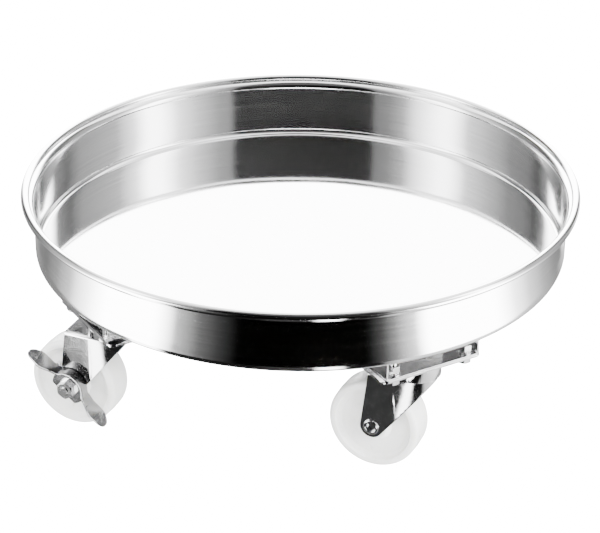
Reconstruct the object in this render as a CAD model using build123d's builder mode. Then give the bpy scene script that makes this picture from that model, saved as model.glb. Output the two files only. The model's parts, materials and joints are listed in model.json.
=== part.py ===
from build123d import *
import os
from math import acos, asin, cos, degrees, radians, sin

# Round drum dolly: a curled-rim tray on four swivel casters, two of them with a rocking brake lever.
# Millimetres, +Z up, origin on the ground under the tray's centre. The casters stand on the diagonals.

os.makedirs("parts", exist_ok=True)

# ---- Tray ----
tray_r = 215.0  # outside of the straight wall
tray_sheet = 1.2
tray_base_z = 121.0  # underside of the flat floor
corner_r = 5.4  # middle of the sheet, floor to wall
flare_r = 6.1  # middle of the sheet, wall to rim
flare_turn = 75.0
flare_start_z = tray_base_z + 43.8
rim_centre_r = 221.2
rim_centre_z = tray_base_z + 51.3
curl_r = 2.8  # middle of the sheet, round the core wire
wire_r = 2.15

# ---- Casters on the tray ----
caster_circle_r = 173.5
caster_azimuths = {"front_left": 225, "front_right": 315, "back_right": 45, "back_left": 135}
braked = ("front_left", "back_right")
heading = 170.7  # the direction in which every wheel trails its swivel axis
mount_z = 100.0  # ground to the top of a caster's plate
plate_sheet = 2.0
plate_length = 90.0
plate_width = 46.0
plate_bottom_z = mount_z - plate_sheet
bracket_sheet = 1.5
bracket_length = 84.0
bracket_bend_r = 2.25
bolt_x = 16.5
bolt_y = 32.5
bolt_hole_r = 3.3

# ---- M6 fasteners ----
m6_r = 3.0
m6_flats = 10.0
m6_head_h = 4.0
m6_nut_h = 5.0
flat_washer_h = 1.2
spring_washer_h = 1.6
bolt_end_z = mount_z + 11.5

# ---- Swivel bearing ----
crown_z = 86.0  # top of the fork's crown
ball_r = 2.5
ball_pitch_r = 12.5
ball_count = 14
ball_z = 89.8
groove_r = ball_r + 0.3
cup_r = 19.5
cup_top_z = 96.5
pin_r = 5.0
dome_edge_r = 8.5  # the kingpin's riveted head, on top of the plate
dome_h = 2.6

# ---- Fork ----
fork_sheet = 1.8
fork_half_w = 16.0
fork_flat_x = 12.0  # where the flat legs turn into the closed nose
fork_nose_x = -17.0
fork_rear_x = 33.0
fork_foot_z = 82.0  # lowest point of the nose
boss_r = 9.3

# ---- Wheel and axle ----
wheel_r = 37.5
wheel_w = 26.0
trail = 29.4
axle_z = wheel_r
hub_w = 27.6
hub_r = 13.0
sleeve_r = 6.5
rivet_r = 5.2
axle_bolt_r = 4.0
axle_bolt_end_y = 28.0
running_gap = 0.05
leg_inner_y = fork_half_w - fork_sheet

# ---- M8 fasteners on the braked axles ----
m8_flats = 13.0
m8_head_h = 5.3
m8_thin_nut_h = 3.6

# ---- Brake lever ----
lever_sheet = 1.6
lever_face_y = 17.0  # inner face of its plate, outside the fork's leg
lever_tilt = 38.5  # released position, forward of upright
arch_r = 15.5  # outside of the arch over the axle
wing_height = 7.0  # middle of each wing, above the axle when the lever is upright
wing_bend_r = 5.0
tip_bend_x = 33.0
tip_bend_r = 12.0
tip_droop = 14.0
wing_reach = 42.5
wing_root_y = 26.6  # outer edge of the arch
wing_broad_y = 35.4  # outer edge where the wing is broadest
wing_inner_y = 19.0

wheel_plane = Plane(origin=(trail, 0, axle_z), x_dir=(0, 1, 0), z_dir=(1, 0, 0))
wheel_axis = Axis((trail, 0, axle_z), (0, 1, 0))
side_plane = Plane(origin=(0, 0, 0), x_dir=(1, 0, 0), z_dir=(0, -1, 0))


def axle_section(y):
    """A plane square to the axle at that distance to the side, with local x to the rear and y up."""
    return Plane(origin=(trail, y, axle_z), x_dir=(1, 0, 0), z_dir=(0, -1, 0))


def save(name, shape):
    """Names a finished piece and writes its STEP file."""
    shape.label = name
    export_step(shape, f"parts/{name}.step")


# ---------------------------------------------------------------- tray

with BuildPart() as tray_pan:
    with BuildSketch(Plane.XZ):
        with BuildLine():
            wall_r = tray_r - tray_sheet / 2
            floor_z = tray_base_z + tray_sheet / 2
            floor = Line((0, floor_z), (wall_r - corner_r, floor_z))
            corner = JernArc(floor @ 1, floor % 1, corner_r, 90)
            wall = Line(corner @ 1, (wall_r, flare_start_z))
            JernArc(wall @ 1, wall % 1, flare_r, -flare_turn)
        trace(line_width=tray_sheet)
        with BuildLine():
            CenterArc((rim_centre_r, rim_centre_z), curl_r, -60, 275)
        trace(line_width=tray_sheet)
    revolve(axis=Axis.Z)

with BuildPart() as rim_wire:
    with BuildSketch(Plane.XZ):
        with Locations((rim_centre_r, rim_centre_z)):
            Circle(wire_r)
    revolve(axis=Axis.Z)

# ---------------------------------------------------------------- bracket and caster plate
# Local frame of these pieces: origin on the ground under the swivel axis, +X away from the tray's centre.

bolt_points = [(x, y) for x in (-bolt_x, bolt_x) for y in (-bolt_y, bolt_y)]

with BuildPart() as mount_bracket:
    with BuildSketch(Plane.YZ.offset(-plate_width / 2)):
        with BuildLine():
            side_y = (bracket_length - bracket_sheet) / 2
            bend_y = side_y - bracket_bend_r
            floor_mid_z = mount_z + bracket_sheet / 2
            down = Line((-side_y, tray_base_z), (-side_y, floor_mid_z + bracket_bend_r))
            bend = JernArc(down @ 1, down % 1, bracket_bend_r, 90)
            across = Line(bend @ 1, (bend_y, floor_mid_z))
            rise = JernArc(across @ 1, across % 1, bracket_bend_r, 90)
            Line(rise @ 1, (side_y, tray_base_z))
        trace(line_width=bracket_sheet)
    extrude(amount=plate_width)
    with BuildSketch(Plane.XY.offset(mount_z)):
        with Locations(*bolt_points):
            Circle(bolt_hole_r)
        Circle(10)
    extrude(amount=bracket_sheet, mode=Mode.SUBTRACT)

with BuildPart() as caster_plate:
    with BuildSketch(Plane.XY.offset(plate_bottom_z)):
        RectangleRounded(plate_width, plate_length, 6)
        Circle(pin_r + running_gap, mode=Mode.SUBTRACT)
        with Locations(*bolt_points):
            Circle(bolt_hole_r, mode=Mode.SUBTRACT)
    extrude(amount=plate_sheet)

# ---------------------------------------------------------------- swivel bearing

with BuildPart() as upper_race:
    with BuildSketch(Plane.XZ):
        with BuildLine():
            Polyline((7, 90.8), (16.5, 90.8), (16.5, plate_bottom_z), (7, plate_bottom_z), close=True)
        make_face()
        with Locations((ball_pitch_r, ball_z)):
            Circle(groove_r, mode=Mode.SUBTRACT)
    revolve(axis=Axis.Z)

with BuildPart() as swivel_cup:
    with BuildSketch(Plane.XZ):
        with BuildLine():
            Polyline(
                (6, crown_z), (cup_r, crown_z), (cup_r, cup_top_z), (cup_r - 1.5, cup_top_z),
                (cup_r - 1.5, 88.8), (6, 88.8), close=True,
            )
        make_face()
        with Locations((ball_pitch_r, ball_z)):
            Circle(groove_r, mode=Mode.SUBTRACT)
    revolve(axis=Axis.Z)
    fillet(swivel_cup.edges().group_by(Axis.Z)[-1], 0.6)

with BuildPart() as swivel_balls:
    with Locations((0, 0, ball_z)):
        with PolarLocations(ball_pitch_r, ball_count):
            Sphere(ball_r)

with BuildPart() as kingpin:
    with BuildSketch(Plane.XZ):
        with BuildLine():
            dome_r = (dome_edge_r**2 + dome_h**2) / (2 * dome_h)
            dome_angle = degrees(asin(dome_edge_r / dome_r))
            dome = CenterArc((0, mount_z + dome_h - dome_r), dome_r, 90 - dome_angle, dome_angle)
            foot = Polyline(dome @ 1, (0, 80.7), (8.2, 80.7), (9, 81.5), (9, 83.7))
            Polyline(foot @ 1, (pin_r, 83.7), (pin_r, mount_z), dome @ 0)
        make_face()
    revolve(axis=Axis.Z)

# ---------------------------------------------------------------- fork
# Local frame of every turning piece: origin on the ground under the swivel axis, +X towards the wheel's axle,
# +Y along the axle to the side of the brake lever.


def make_fork(axle_r):
    """A pressed fork with axle holes of that radius: two flat legs joined by a crown and a rounded nose."""
    foot_z = axle_z - boss_r - 1
    rear_x = fork_rear_x + 12
    with BuildPart() as fork:
        for wall, mode in ((0, Mode.ADD), (fork_sheet, Mode.SUBTRACT)):
            half_w = fork_half_w - wall
            with BuildSketch(Plane.XY.offset(foot_z)):
                with BuildLine():
                    nose_length = fork_flat_x - fork_nose_x - wall
                    EllipticalCenterArc((fork_flat_x, 0), nose_length, half_w, 90, arc_size=180)
                    back = Line((rear_x, -half_w), (rear_x, half_w))
                    Polyline((fork_flat_x, -half_w), back @ 0)
                    Polyline(back @ 1, (fork_flat_x, half_w))
                make_face()
            extrude(amount=crown_z - wall - foot_z, mode=mode)
            if not wall:
                crown = fork.edges().group_by(Axis.Z)[-1]
                fillet(crown.filter_by(lambda edge: (edge @ 0.5).X < rear_x - 1), 3)
        with BuildSketch(side_plane):
            with Locations((trail, axle_z)):
                Circle(boss_r)
            with BuildLine():
                Polyline((fork_rear_x, crown_z), (fork_nose_x, crown_z), (fork_nose_x, fork_foot_z))
            make_hull()
        extrude(amount=fork_half_w, both=True, mode=Mode.INTERSECT)
        with BuildSketch(Plane.XY.offset(crown_z - fork_sheet)):
            Circle(pin_r + running_gap)
        extrude(amount=fork_sheet, mode=Mode.SUBTRACT)
        with BuildSketch(axle_section(0)):
            Circle(axle_r)
        extrude(amount=fork_half_w, both=True, mode=Mode.SUBTRACT)
    return fork.part


# ---------------------------------------------------------------- wheel and axle

with BuildPart() as wheel:
    with BuildSketch(wheel_plane):
        with BuildLine():
            bore_r = sleeve_r + running_gap
            Polyline(
                (0, bore_r), (hub_w / 2, bore_r), (hub_w / 2, hub_r - 1.5), (hub_w / 2 - 1.5, hub_r),
                (9.5, hub_r + 2), (9.5, 27), (11, 30.5), (wheel_w / 2, 31.5), (wheel_w / 2, wheel_r - 4),
            )
            tread_edge = JernArc((wheel_w / 2, wheel_r - 4), (0, 1), 3.6, 84)
            Polyline(tread_edge @ 1, (0, wheel_r), (0, bore_r))
        make_face()
        mirror(about=Plane.YZ)
    revolve(axis=wheel_axis)
    with BuildSketch(axle_section(9.5)):
        with Locations((2, -22.5)):
            Circle(1.3)
    extrude(amount=0.8, mode=Mode.SUBTRACT)


def make_sleeve(bore):
    """The tube that the wheel turns on, held between the fork's legs."""
    with BuildPart() as sleeve:
        with BuildSketch(axle_section(leg_inner_y)):
            Circle(sleeve_r)
            Circle(bore, mode=Mode.SUBTRACT)
        extrude(amount=2 * leg_inner_y)
    return sleeve.part


with BuildPart() as axle_rivet:
    with BuildSketch(wheel_plane):
        with BuildLine():
            lip_y = fork_half_w + 1.5
            Polyline((0, 0), (lip_y - 3, 0), (lip_y - 3, 4.1), (lip_y, 4.3))
            ThreePointArc((lip_y, 4.3), (lip_y - 0.1, 5.6), (fork_half_w + 0.3, 6.4))
            lip = Line((fork_half_w + 0.3, 6.4), (fork_half_w, 6.3))
            Polyline(lip @ 1, (fork_half_w, rivet_r), (0, rivet_r), (0, 0))
        make_face()
        mirror(about=Plane.YZ)
    revolve(axis=wheel_axis)

# ---------------------------------------------------------------- M6 fasteners


def chamfered_hex(plane, flats, height, hole_r=0.0):
    """A hexagonal prism on the plane, its corners turned off at the far end, with a hole if one is wanted."""
    far_plane = Plane(origin=plane.origin + plane.z_dir * height, x_dir=plane.x_dir, z_dir=-plane.z_dir)
    with BuildPart() as hexa:
        with BuildSketch(plane):
            RegularPolygon(flats / 2, 6, major_radius=False, rotation=30)
        extrude(amount=height)
        with BuildSketch(far_plane):
            Circle(flats * 0.49)
        extrude(amount=height, taper=-60, mode=Mode.INTERSECT)
        if hole_r:
            with BuildSketch(plane):
                Circle(hole_r)
            extrude(amount=height, mode=Mode.SUBTRACT)
    return hexa.part


with BuildPart() as plate_bolt:
    add(chamfered_hex(Plane(origin=(0, 0, plate_bottom_z), z_dir=(0, 0, -1)), m6_flats, m6_head_h))
    with BuildSketch(Plane.XY.offset(plate_bottom_z)):
        Circle(m6_r)
    extrude(amount=bolt_end_z - plate_bottom_z)
    chamfer(plate_bolt.edges().group_by(Axis.Z)[-1], 0.6)

washer_z = mount_z + bracket_sheet
with BuildPart() as flat_washer:
    with BuildSketch(Plane.XY.offset(washer_z)):
        Circle(6.0)
        Circle(m6_r + 0.2, mode=Mode.SUBTRACT)
    extrude(amount=flat_washer_h)

spring_z = washer_z + flat_washer_h
with BuildPart() as spring_washer:
    with BuildSketch(Plane.XY.offset(spring_z)):
        Circle(5.4)
        Circle(m6_r + 0.1, mode=Mode.SUBTRACT)
        with Locations((4, 0)):
            Rectangle(4, 0.8, rotation=20, mode=Mode.SUBTRACT)
    extrude(amount=spring_washer_h)

nut_z = spring_z + spring_washer_h
plate_nut = chamfered_hex(Plane.XY.offset(nut_z), m6_flats, m6_nut_h, m6_r + 0.02)

# ---------------------------------------------------------------- brake

with BuildPart() as axle_bolt:
    add(chamfered_hex(axle_section(-fork_half_w), m8_flats, m8_head_h))
    with BuildSketch(axle_section(-fork_half_w)):
        Circle(axle_bolt_r)
    extrude(amount=-(fork_half_w + axle_bolt_end_y))
    chamfer(axle_bolt.edges().group_by(Axis.Y)[-1], 0.8)

cam_sheet = 0.8
hook = [(8.4, 14), (8.4, 18.2), (11.8, 18.2), (11.8, 13.5)]
with BuildPart() as brake_cam:
    with BuildSketch(axle_section(fork_half_w)):
        Circle(9.0)
        with BuildLine():
            Polyline((2, 6), *hook, (8, 3), close=True)
        make_face()
        Circle(axle_bolt_r + 0.1, mode=Mode.SUBTRACT)
    extrude(amount=-cam_sheet)
    with BuildSketch(axle_section(fork_half_w + cam_sheet)):
        with BuildLine():
            Polyline(*hook, close=True)
        make_face()
    extrude(amount=4.4)

with BuildPart() as brake_lever:
    with BuildSketch(axle_section(wing_broad_y + 1)):
        with BuildLine():
            mid_r = arch_r - lever_sheet / 2
            half_angle = degrees(acos((wing_height + wing_bend_r) / (mid_r + wing_bend_r)))
            arch = CenterArc((0, 0), mid_r, 90 - half_angle, 2 * half_angle)
            for side, root, away in ((1, arch @ 0, -(arch % 0)), (-1, arch @ 1, arch % 1)):
                bend = JernArc(root, away, wing_bend_r, side * half_angle)
                wing = Line(bend @ 1, (side * tip_bend_x, wing_height))
                tip_bend = JernArc(wing @ 1, wing % 1, tip_bend_r, -side * tip_droop)
                Line(tip_bend @ 1, tip_bend @ 1 + (tip_bend % 1) * 12)
        trace(line_width=lever_sheet)
    extrude(amount=wing_broad_y + 1 - lever_face_y)
    with BuildSketch(Plane(origin=(trail, 0, axle_z), x_dir=(1, 0, 0), z_dir=(0, 0, 1))):
        with BuildLine():
            broad_x = wing_reach - 13
            tip_y = (wing_broad_y + wing_inner_y) / 2
            edge = Spline(
                (-broad_x, wing_broad_y), (-20, 30.4), (-11, wing_root_y + 0.2), (0, wing_root_y),
                (11, wing_root_y + 0.2), (20, 30.4), (broad_x, wing_broad_y), tangents=((1, -0.2), (1, 0.2)),
            )
            tip_h = wing_broad_y - tip_y
            EllipticalCenterArc((broad_x, tip_y), 13, tip_h, 270, arc_size=180)
            Polyline(
                (broad_x, wing_inner_y), (22, wing_inner_y), (15.5, lever_face_y),
                (-15.5, lever_face_y), (-22, wing_inner_y), (-broad_x, wing_inner_y),
            )
            EllipticalCenterArc((-broad_x, tip_y), 13, tip_h, 90, arc_size=180)
        make_face()
    extrude(amount=60, both=True, mode=Mode.INTERSECT)
    with BuildSketch(axle_section(lever_face_y)):
        Circle(arch_r - 0.4)
        with Locations((0, -14)):
            Rectangle(40, 10, mode=Mode.SUBTRACT)
        Circle(axle_bolt_r + 0.06, mode=Mode.SUBTRACT)
    extrude(amount=-lever_sheet)

lever_washer_y = lever_face_y + lever_sheet + 0.1
lever_washer_h = 1.0
with BuildPart() as lever_washer:
    with BuildSketch(axle_section(lever_washer_y)):
        Circle(8.2)
        Circle(axle_bolt_r + 0.2, mode=Mode.SUBTRACT)
    extrude(amount=-lever_washer_h)

axle_nut_y = lever_washer_y + lever_washer_h + 0.05
axle_nuts = [
    chamfered_hex(
        Plane(origin=(trail, y, axle_z), x_dir=(1, 0, 0), z_dir=(0, 1, 0)), m8_flats, m8_thin_nut_h,
        axle_bolt_r + 0.02,
    )
    for y in (axle_nut_y, axle_nut_y + m8_thin_nut_h)
]

# ---------------------------------------------------------------- assembly


def under_tray(azimuth):
    """The place of a caster's fixed pieces: +X points away from the tray's centre."""
    a = radians(azimuth)
    return Location((caster_circle_r * cos(a), caster_circle_r * sin(a), 0), (0, 0, azimuth))


def turned(azimuth):
    """The place of a caster's turning pieces, at the heading that all wheels share."""
    a = radians(azimuth)
    return Location((caster_circle_r * cos(a), caster_circle_r * sin(a), 0), (0, 0, heading))


save("tray_pan", tray_pan.part)
save("rim_wire", rim_wire.part)

riveted_fork = make_fork(rivet_r + running_gap)
bolted_fork = make_fork(axle_bolt_r + running_gap)
riveted_sleeve = make_sleeve(rivet_r + running_gap)
bolted_sleeve = make_sleeve(axle_bolt_r + running_gap)
lever_pivot = Location((trail, 0, axle_z))
released = lever_pivot * Location((0, 0, 0), (0, -lever_tilt, 0)) * lever_pivot.inverse()

for caster, azimuth in caster_azimuths.items():
    fixed = under_tray(azimuth)
    turning = turned(azimuth)
    has_brake = caster in braked
    save(f"mount_bracket_{caster}", fixed * mount_bracket.part)
    save(f"caster_plate_{caster}", fixed * caster_plate.part)
    save(f"upper_race_{caster}", fixed * upper_race.part)
    save(f"kingpin_{caster}", fixed * kingpin.part)
    save(f"swivel_cup_{caster}", turning * swivel_cup.part)
    save(f"swivel_balls_{caster}", turning * swivel_balls.part)
    save(f"fork_{caster}", turning * (bolted_fork if has_brake else riveted_fork))
    save(f"axle_sleeve_{caster}", turning * (bolted_sleeve if has_brake else riveted_sleeve))
    save(f"axle_{caster}", turning * (axle_bolt.part if has_brake else axle_rivet.part))
    save(f"wheel_{caster}", turning * wheel.part)
    if has_brake:
        save(f"brake_cam_{caster}", turning * brake_cam.part)
        save(f"brake_lever_{caster}", turning * released * brake_lever.part)
        save(f"lever_washer_{caster}", turning * lever_washer.part)
        save(f"axle_nuts_{caster}", Compound([turning * nut for nut in axle_nuts]))

bolt_places = [
    under_tray(azimuth) * Location((x, y, 0))
    for azimuth in caster_azimuths.values()
    for x, y in bolt_points
]
for group, piece in {
    "plate_bolts": plate_bolt.part,
    "plate_flat_washers": flat_washer.part,
    "plate_spring_washers": spring_washer.part,
    "plate_nuts": plate_nut,
}.items():
    save(group, Compound([place * piece for place in bolt_places]))
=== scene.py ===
import json
import math

import bmesh
import bpy
from mathutils import Matrix, Vector


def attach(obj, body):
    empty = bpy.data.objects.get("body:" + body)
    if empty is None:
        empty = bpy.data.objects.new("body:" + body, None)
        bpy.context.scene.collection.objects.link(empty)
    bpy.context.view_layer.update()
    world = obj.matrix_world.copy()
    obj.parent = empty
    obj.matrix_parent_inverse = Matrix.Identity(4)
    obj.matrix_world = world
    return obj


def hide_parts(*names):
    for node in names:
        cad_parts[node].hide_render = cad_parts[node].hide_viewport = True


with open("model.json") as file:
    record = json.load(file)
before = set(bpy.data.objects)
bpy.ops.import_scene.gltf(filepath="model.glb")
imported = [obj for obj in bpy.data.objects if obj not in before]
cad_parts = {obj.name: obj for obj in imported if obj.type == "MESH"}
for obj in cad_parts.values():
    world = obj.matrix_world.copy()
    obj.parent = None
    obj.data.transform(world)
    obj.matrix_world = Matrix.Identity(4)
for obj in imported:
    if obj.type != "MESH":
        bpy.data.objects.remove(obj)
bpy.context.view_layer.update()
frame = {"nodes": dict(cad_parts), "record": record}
nodes = frame["nodes"]

MM = 0.001

# ---------------------------------------------------------------- node and mesh helpers


def node(tree, kind, inputs=None, **settings):
    """Adds a shader node, with values or links for its inputs."""
    made = tree.nodes.new("ShaderNode" + kind)
    for key, value in settings.items():
        setattr(made, key, value)
    for key, value in (inputs or {}).items():
        if isinstance(value, bpy.types.NodeSocket):
            tree.links.new(value, made.inputs[key])
        else:
            made.inputs[key].default_value = value
    return made


def math_node(tree, operation, a, b=0.0):
    return node(tree, "Math", {0: a, 1: b}, operation=operation).outputs[0]


def spread(tree, value, low, high, to_low, to_high):
    """Maps a value's range to another, held at both ends."""
    inputs = {"Value": value, "From Min": low, "From Max": high, "To Min": to_low, "To Max": to_high}
    return node(tree, "MapRange", inputs).outputs["Result"]


def noise(tree, vector, scale, detail=2.0, rough=0.5):
    inputs = {"Vector": vector, "Scale": scale, "Detail": detail, "Roughness": rough}
    return node(tree, "TexNoise", inputs).outputs["Fac"]


def blend(tree, factor, low, high):
    """Mixes two colours by a factor from 0 to 1."""
    colours = {"Factor": factor, 6: (*low, 1), 7: (*high, 1)}
    return node(tree, "Mix", colours, data_type="RGBA").outputs[2]


def new_material(name, **shader_values):
    material = bpy.data.materials.new(name)
    material.use_nodes = True
    shader = material.node_tree.nodes["Principled BSDF"]
    for key, value in shader_values.items():
        shader.inputs[key.replace("_", " ")].default_value = value
    return material, material.node_tree, shader


def new_object(name, mesh):
    piece = bpy.data.objects.new(name, mesh)
    bpy.context.scene.collection.objects.link(piece)
    return piece


def revolve(bm, profile, segments, closed=True):
    """Turns (radius, height) points about Z. A point at radius 0 becomes one vertex."""
    rings = []
    for r, z in profile:
        if r < 1e-9:
            rings.append([bm.verts.new((0, 0, z))] * segments)
        else:
            turns = [2 * math.pi * i / segments for i in range(segments)]
            rings.append([bm.verts.new((r * math.cos(t), r * math.sin(t), z)) for t in turns])
    pairs = list(zip(rings, rings[1:] + rings[:1])) if closed else list(zip(rings, rings[1:]))
    for low, high in pairs:
        for i in range(segments):
            j = (i + 1) % segments
            corners = []
            for vert in (low[i], low[j], high[j], high[i]):
                if vert not in corners:
                    corners.append(vert)
            if len(corners) > 2:
                bm.faces.new(corners)


def finished_mesh(bm, name, sharp_angle=35):
    bmesh.ops.recalc_face_normals(bm, faces=bm.faces)
    mesh = bpy.data.meshes.new(name)
    bm.to_mesh(mesh)
    bm.free()
    mesh.shade_smooth()
    mesh.set_sharp_from_angle(angle=math.radians(sharp_angle))
    return mesh


# ---------------------------------------------------------------- materials


def polar_vector(tree, turn_scale, line_scale):
    """Coordinates that change slowly round the tray and fast across its profile."""
    position = node(tree, "TexCoord").outputs["Object"]
    axes = node(tree, "SeparateXYZ", {0: position})
    flat = node(tree, "CombineXYZ", {0: axes.outputs[0], 1: axes.outputs[1]}).outputs[0]
    radius = node(tree, "VectorMath", {0: flat}, operation="LENGTH").outputs["Value"]
    unit = node(tree, "VectorMath", {0: flat}, operation="NORMALIZE").outputs[0]
    round_ = node(tree, "VectorMath", {0: unit, 1: (turn_scale,) * 3}, operation="MULTIPLY").outputs[0]
    across = math_node(tree, "MULTIPLY", math_node(tree, "ADD", axes.outputs[2], radius), line_scale)
    lift = node(tree, "CombineXYZ", {2: across}).outputs[0]
    return node(tree, "VectorMath", {0: round_, 1: lift}, operation="ADD").outputs[0]


def tray_steel():
    """Bright stainless: fine polishing lines round the wall and rim, and a nearly mirror-bright floor."""
    material, tree, shader = new_material("tray_steel", Anisotropic=0.5)
    position = node(tree, "TexCoord").outputs["Object"]
    height = node(tree, "SeparateXYZ", {0: position}).outputs[2]
    wall = spread(tree, height, 0.1224, 0.1260, 0.0, 1.0)
    coarse = noise(tree, polar_vector(tree, 1.6, 700), 1.0, 3, 0.6)
    fine = noise(tree, polar_vector(tree, 5.0, 4200), 1.0, 2, 0.6)
    coarse_part = math_node(tree, "MULTIPLY", coarse, 0.6)
    fine_part = math_node(tree, "MULTIPLY", fine, 0.4)
    lines = math_node(tree, "ADD", coarse_part, fine_part)
    haze = noise(tree, position, 26, 5, 0.6)
    wall_rough = spread(tree, lines, 0.35, 0.65, 0.06, 0.12)
    floor_rough = spread(tree, haze, 0.35, 0.65, 0.035, 0.055)
    rough = node(tree, "Mix", {"Factor": wall, 2: floor_rough, 3: wall_rough}, data_type="FLOAT").outputs[0]
    tree.links.new(rough, shader.inputs["Roughness"])
    tree.links.new(spread(tree, wall, 0.0, 1.0, 0.99, 1.0), shader.inputs["Metallic"])
    tint = math_node(tree, "MULTIPLY", spread(tree, lines, 0.3, 0.7, 0.0, 1.0), wall)
    tree.links.new(blend(tree, tint, (0.80, 0.80, 0.805), (0.93, 0.93, 0.93)), shader.inputs["Base Color"])
    cloud = noise(tree, position, 9, 2, 0.5)
    waves = node(tree, "Bump", {"Strength": 0.4, "Distance": 0.0005, "Height": cloud})
    scored = math_node(tree, "MULTIPLY", lines, wall)
    scratch = node(
        tree, "Bump", {"Strength": 0.5, "Distance": 0.00001, "Height": scored, "Normal": waves.outputs[0]}
    )
    tree.links.new(scratch.outputs[0], shader.inputs["Normal"])
    tangent = node(tree, "Tangent", direction_type="RADIAL", axis="Z")
    tree.links.new(tangent.outputs[0], shader.inputs["Tangent"])
    return material


def satin_steel(name, light, rough_low, rough_high, grain=2600, grain_depth=0.00001):
    """Pressed or turned stainless: a fine random grain, faint stains and slightly uneven sheet."""
    material, tree, shader = new_material(name, Metallic=1.0)
    position = node(tree, "TexCoord").outputs["Object"]
    fine = noise(tree, position, grain, 3, 0.6)
    patches = noise(tree, position, 90, 4, 0.6)
    tree.links.new(spread(tree, patches, 0.35, 0.65, rough_low, rough_high), shader.inputs["Roughness"])
    mix = spread(tree, patches, 0.3, 0.7, 0.0, 1.0)
    low = tuple(0.86 * c for c in light)
    tree.links.new(blend(tree, mix, low, light), shader.inputs["Base Color"])
    waves = node(tree, "Bump", {"Strength": 0.35, "Distance": 0.0003, "Height": patches})
    bumps = node(
        tree, "Bump", {"Strength": 0.5, "Distance": grain_depth, "Height": fine, "Normal": waves.outputs[0]}
    )
    tree.links.new(bumps.outputs[0], shader.inputs["Normal"])
    return material


def nylon():
    """Milky moulded nylon, softly translucent, with a faint mottle and a fine moulded skin."""
    material, tree, shader = new_material(
        "wheel_nylon",
        IOR=1.53,
        Subsurface_Weight=0.35,
        Subsurface_Radius=(0.9, 0.85, 0.7),
        Subsurface_Scale=0.006,
    )
    position = node(tree, "TexCoord").outputs["Object"]
    mottle = noise(tree, position, 70, 4, 0.6)
    skin = noise(tree, position, 1800, 3, 0.6)
    scuff = noise(tree, position, 260, 5, 0.7)
    tint = spread(tree, mottle, 0.3, 0.7, 0.0, 1.0)
    tree.links.new(blend(tree, tint, (0.84, 0.845, 0.82), (0.93, 0.93, 0.915)), shader.inputs["Base Color"])
    tree.links.new(spread(tree, scuff, 0.35, 0.7, 0.26, 0.42), shader.inputs["Roughness"])
    bumps = node(tree, "Bump", {"Strength": 0.4, "Distance": 0.00004, "Height": skin})
    tree.links.new(bumps.outputs[0], shader.inputs["Normal"])
    return material


MATERIALS = {
    "tray_steel": tray_steel(),
    "core_wire": satin_steel("core_wire", (0.72, 0.72, 0.73), 0.22, 0.32),
    "pressed_steel": satin_steel("pressed_steel", (0.80, 0.80, 0.805), 0.07, 0.15),
    "fasteners": satin_steel("fasteners", (0.70, 0.70, 0.70), 0.10, 0.18, 3200),
    "sleeve_steel": satin_steel("sleeve_steel", (0.74, 0.74, 0.74), 0.14, 0.22),
    "bearing_steel": satin_steel("bearing_steel", (0.80, 0.80, 0.81), 0.06, 0.10),
    "wheel_nylon": nylon(),
}
LEVER_STEEL = satin_steel("lever_steel", (0.38, 0.38, 0.385), 0.16, 0.28, 1400, 0.00003)

slot_of = {part["node"]: part["material_slot"] for part in frame["record"]["subparts"]}
for name, cad in nodes.items():
    cad.data.materials.clear()
    cad.data.materials.append(LEVER_STEEL if name.startswith("brake_lever") else MATERIALS[slot_of[name]])

# ---------------------------------------------------------------- tray, replacing the coarser CAD mesh


def arc(centre, radius, start, end, steps):
    """Points on an arc, by angle in degrees."""
    turns = [math.radians(start + (end - start) * i / steps) for i in range(steps + 1)]
    return [(centre[0] + radius * math.cos(t), centre[1] + radius * math.sin(t)) for t in turns]


def sheet_profile(faces):
    """A closed outline from the two faces of a bent sheet."""
    inner, outer = faces
    return [(r * MM, z * MM) for r, z in inner + outer[::-1]]


# The middle of the sheet, in millimetres.
HALF_SHEET = 0.6
FLOOR_Z, WALL_R, CORNER_R = 121.6, 214.4, 5.4
FLARE_R, FLARE_Z = 6.1, 164.8
CURL_CENTRE, CURL_R = (221.2, 172.3), 2.8
FLOOR_RADII = (0, 60, 140, 195)
WALL_HEIGHTS = (135, 145, 155)
ROUND_SEGMENTS, CURL_STEPS, BEND_STEPS = 360, 48, 14

pan_faces = []
curl_faces = []
for side in (HALF_SHEET, -HALF_SHEET):
    line = [(r, FLOOR_Z + side) for r in FLOOR_RADII]
    line += arc((WALL_R - CORNER_R, FLOOR_Z + CORNER_R), CORNER_R - side, -90, 0, BEND_STEPS)
    line += [(WALL_R - side, z) for z in WALL_HEIGHTS]
    line += arc((WALL_R + FLARE_R, FLARE_Z), FLARE_R + side, 180, 105, BEND_STEPS)
    pan_faces.append(line)
    curl_faces.append(arc(CURL_CENTRE, CURL_R + side, -60, 215, CURL_STEPS))
bm = bmesh.new()
revolve(bm, sheet_profile(pan_faces), ROUND_SEGMENTS)
revolve(bm, sheet_profile(curl_faces), ROUND_SEGMENTS)
tray = new_object("tray_sheet", finished_mesh(bm, "tray_sheet"))
tray.data.materials.append(MATERIALS["tray_steel"])
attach(tray, "tray")
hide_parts("tray_pan")

# ---------------------------------------------------------------- small rounded edges on the CAD pieces

for name, cad in nodes.items():
    if name in ("tray_pan", "rim_wire") or name.startswith("swivel_balls"):
        continue
    weld = cad.modifiers.new("weld", "WELD")
    weld.merge_threshold = 0.005 * MM
    edge = cad.modifiers.new("edge", "BEVEL")
    edge.width = 0.25 * MM
    edge.segments = 2
    edge.limit_method = "ANGLE"
    edge.angle_limit = math.radians(40)
    edge.harden_normals = True

# ---------------------------------------------------------------- camera

TRAY_BASE = Vector((0, 0, 0.121))
AZIMUTH, ELEVATION, DISTANCE, ROLL = 14.0, 26.99, 1.791, 0.48
AIM_DROP = 0.0235

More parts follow.
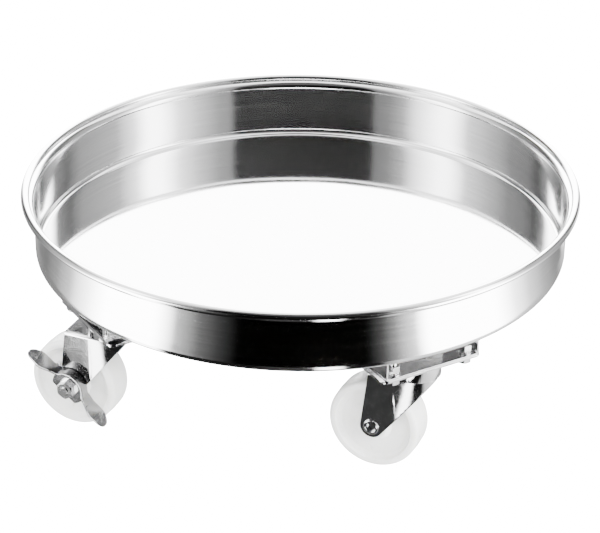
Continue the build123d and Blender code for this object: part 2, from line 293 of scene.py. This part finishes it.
camera_data = bpy.data.cameras.new("camera")
camera_data.lens = 131.4
camera_data.sensor_width = 36
camera_data.clip_end = 50
camera = bpy.data.objects.new("camera", camera_data)
bpy.context.scene.collection.objects.link(camera)
a, e = math.radians(AZIMUTH), math.radians(ELEVATION)
away = Vector((math.sin(a) * math.cos(e), -math.cos(a) * math.cos(e), math.sin(e)))
position = TRAY_BASE + DISTANCE * away
aim = TRAY_BASE - Vector((0, 0, AIM_DROP))
look = (aim - position).to_track_quat("-Z", "Y").to_matrix().to_4x4()
camera.matrix_world = Matrix.Translation(position) @ look @ Matrix.Rotation(math.radians(ROLL), 4, "Z")
bpy.context.scene.camera = camera

# ---------------------------------------------------------------- floor and light


FLOOR_HALF = 9
FLOOR_GLOW = 22
LIGHT_R = 2.4
CARD_LIFT = 0.0003
BRIGHT = 16.0

paint, _, shader = new_material("floor_paint", Roughness=0.9, Emission_Strength=FLOOR_GLOW)
for socket in ("Base Color", "Emission Color"):
    shader.inputs[socket].default_value = (0.95, 0.95, 0.95, 1)
corners = [(x * FLOOR_HALF, y * FLOOR_HALF, 0) for x, y in ((-1, -1), (1, -1), (1, 1), (-1, 1))]
floor_mesh = bpy.data.meshes.new("floor")
floor_mesh.from_pydata(corners, [], [(0, 1, 2, 3)])
ground = new_object("floor", floor_mesh)
floor_mesh.materials.append(paint)
ground.visible_diffuse = False
ground.visible_glossy = False
ground.visible_transmission = False


def reflection_only(card):
    card.visible_camera = False
    card.visible_diffuse = False
    card.visible_shadow = False
    card.visible_transmission = False


def bearing_light(name, stops):
    """Light by bearing in degrees round the tray: 0 is towards the camera, and positive is to its right."""
    material = bpy.data.materials.new(name)
    material.use_nodes = True
    tree = material.node_tree
    tree.nodes.clear()
    axes = node(tree, "SeparateXYZ", {0: node(tree, "TexCoord").outputs["Object"]})
    bearing = math_node(tree, "ARCTAN2", axes.outputs[0], math_node(tree, "MULTIPLY", axes.outputs[1], -1.0))
    turn = math_node(tree, "ADD", math_node(tree, "DIVIDE", bearing, 2 * math.pi), 0.5)
    ramp = node(tree, "ValToRGB", {0: turn})
    elements = ramp.color_ramp.elements
    for i, (degrees, level) in enumerate(stops):
        at = (degrees + 180) / 360
        stop = elements[i] if i < 2 else elements.new(at)
        stop.position = at
        stop.color = (level / BRIGHT,) * 3 + (1,)
    glow = node(tree, "Emission", {"Color": ramp.outputs[0], "Strength": BRIGHT})
    node(tree, "OutputMaterial", {"Surface": glow.outputs[0]})
    return material


def surround(name, profile, material):
    """A surface of revolution round the scene, turned so that its bearing 0 faces the camera."""
    bm = bmesh.new()
    revolve(bm, profile, 96, closed=False)
    made = new_object(name, finished_mesh(bm, name))
    made.rotation_euler = (0, 0, math.radians(AZIMUTH))
    made.data.materials.append(material)
    return made


# Bearing and level. The dark and light bands give the bands seen on the tray and the forks.
wall_stops = [
    (-180, 16), (-155, 16), (-146, 0.5), (-136, 0.1), (-126, 0.3), (-112, 0.42), (-98, 1.0), (-84, 2.0),
    (-74, 9), (-69, 9), (-59, 4.5), (-50, 0.9), (-42, 0.38), (-34.6, 0.3), (-34.2, 0.003), (-18, 0.003),
    (0, 0.012), (24, 0.03), (32.2, 0.012), (32.6, 0.5), (40, 0.65), (50, 1.5), (60, 3.2), (70, 11),
    (76, 11), (84, 3.2), (95, 1.0), (108, 0.75), (120, 0.6), (132, 0.2), (146, 0.4), (156, 16),
]
far_stops = [
    (-180, 0.0), (-166, 0.05), (-150, 4), (-135, 1.0), (-118, 0.3), (-109, 0.26), (-99, 0.5), (-89, 1.3),
    (-79, 6), (-69, 16), (-49, 16), (-41, 1.0), (-33, 0.2), (-26, 0.06), (-20, 0.0), (22, 0.0), (27, 0.1),
    (31, 0.4), (38, 2.0), (43, 16), (70, 16), (80, 5), (89, 1.8), (99, 0.8), (109, 0.42), (118, 0.32),
    (128, 4), (150, 4), (166, 0.05), (180, 0.0),
]
near_stops = [
    (-180, 0.1), (-150, 0.8), (-130, 0.6), (-112, 0.3), (-90, 0.35), (-64, 0.42), (-56.5, 0.42), (-55, 10),
    (-46, 10), (-43, 0.02), (-14, 0.01), (-9, 0.05), (4.5, 0.06), (6.5, 10), (11.5, 10), (14, 0.01),
    (25, 0.01), (31, 1.5), (60, 2.5), (90, 1.0), (112, 0.4), (128, 1.5), (150, 1.0), (180, 0.1),
]
centre_stops = [
    (-180, 0.1), (-150, 0.6), (-90, 0.3), (-50, 0.3), (-40, 0.02), (-14, 0.02), (-8, 0.06), (18, 0.05),
    (32, 0.6), (60, 0.8), (120, 0.4), (180, 0.1),
]
ceiling_stops = [(-180, 5), (-70, 2.5), (-36, 0.15), (34, 0.15), (70, 2.5), (180, 5)]
CENTRE_R, NEAR_R = 0.225, 0.38
for name, profile, stops in (
    ("studio_wall", [(LIGHT_R, 0.001), (LIGHT_R, LIGHT_R)], wall_stops),
    ("studio_ground", [(NEAR_R, CARD_LIFT), (LIGHT_R, CARD_LIFT)], far_stops),
    ("studio_near_ground", [(CENTRE_R, CARD_LIFT), (NEAR_R, CARD_LIFT)], near_stops),
    ("studio_centre_ground", [(0.002, CARD_LIFT), (CENTRE_R, CARD_LIFT)], centre_stops),
    ("studio_ceiling", [(0.002, LIGHT_R), (LIGHT_R, LIGHT_R)], ceiling_stops),
):
    reflection_only(surround(name, profile, bearing_light(name + "_light", stops)))

world = bpy.data.worlds.new("world")
world.use_nodes = True
world.node_tree.nodes["Background"].inputs[0].default_value = (1, 1, 1, 1)
world.node_tree.nodes["Background"].inputs[1].default_value = 3.0
bpy.context.scene.world = world

for name, where, power, size in (
    ("key", (-1.2, -0.6, 1.9), 70, 1.2),
    ("fill", (1.7, -0.9, 0.9), 120, 1.0),
    ("back", (0.0, 1.6, 1.8), 60, 1.4),
):
    light = bpy.data.lights.new(name, "AREA")
    light.energy = power
    light.size = size
    lamp = bpy.data.objects.new(name, light)
    bpy.context.scene.collection.objects.link(lamp)
    lamp.location = where
    lamp.visible_glossy = False
    lamp.rotation_euler = (Vector((0, 0, 0.1)) - Vector(where)).to_track_quat("-Z", "Y").to_euler()
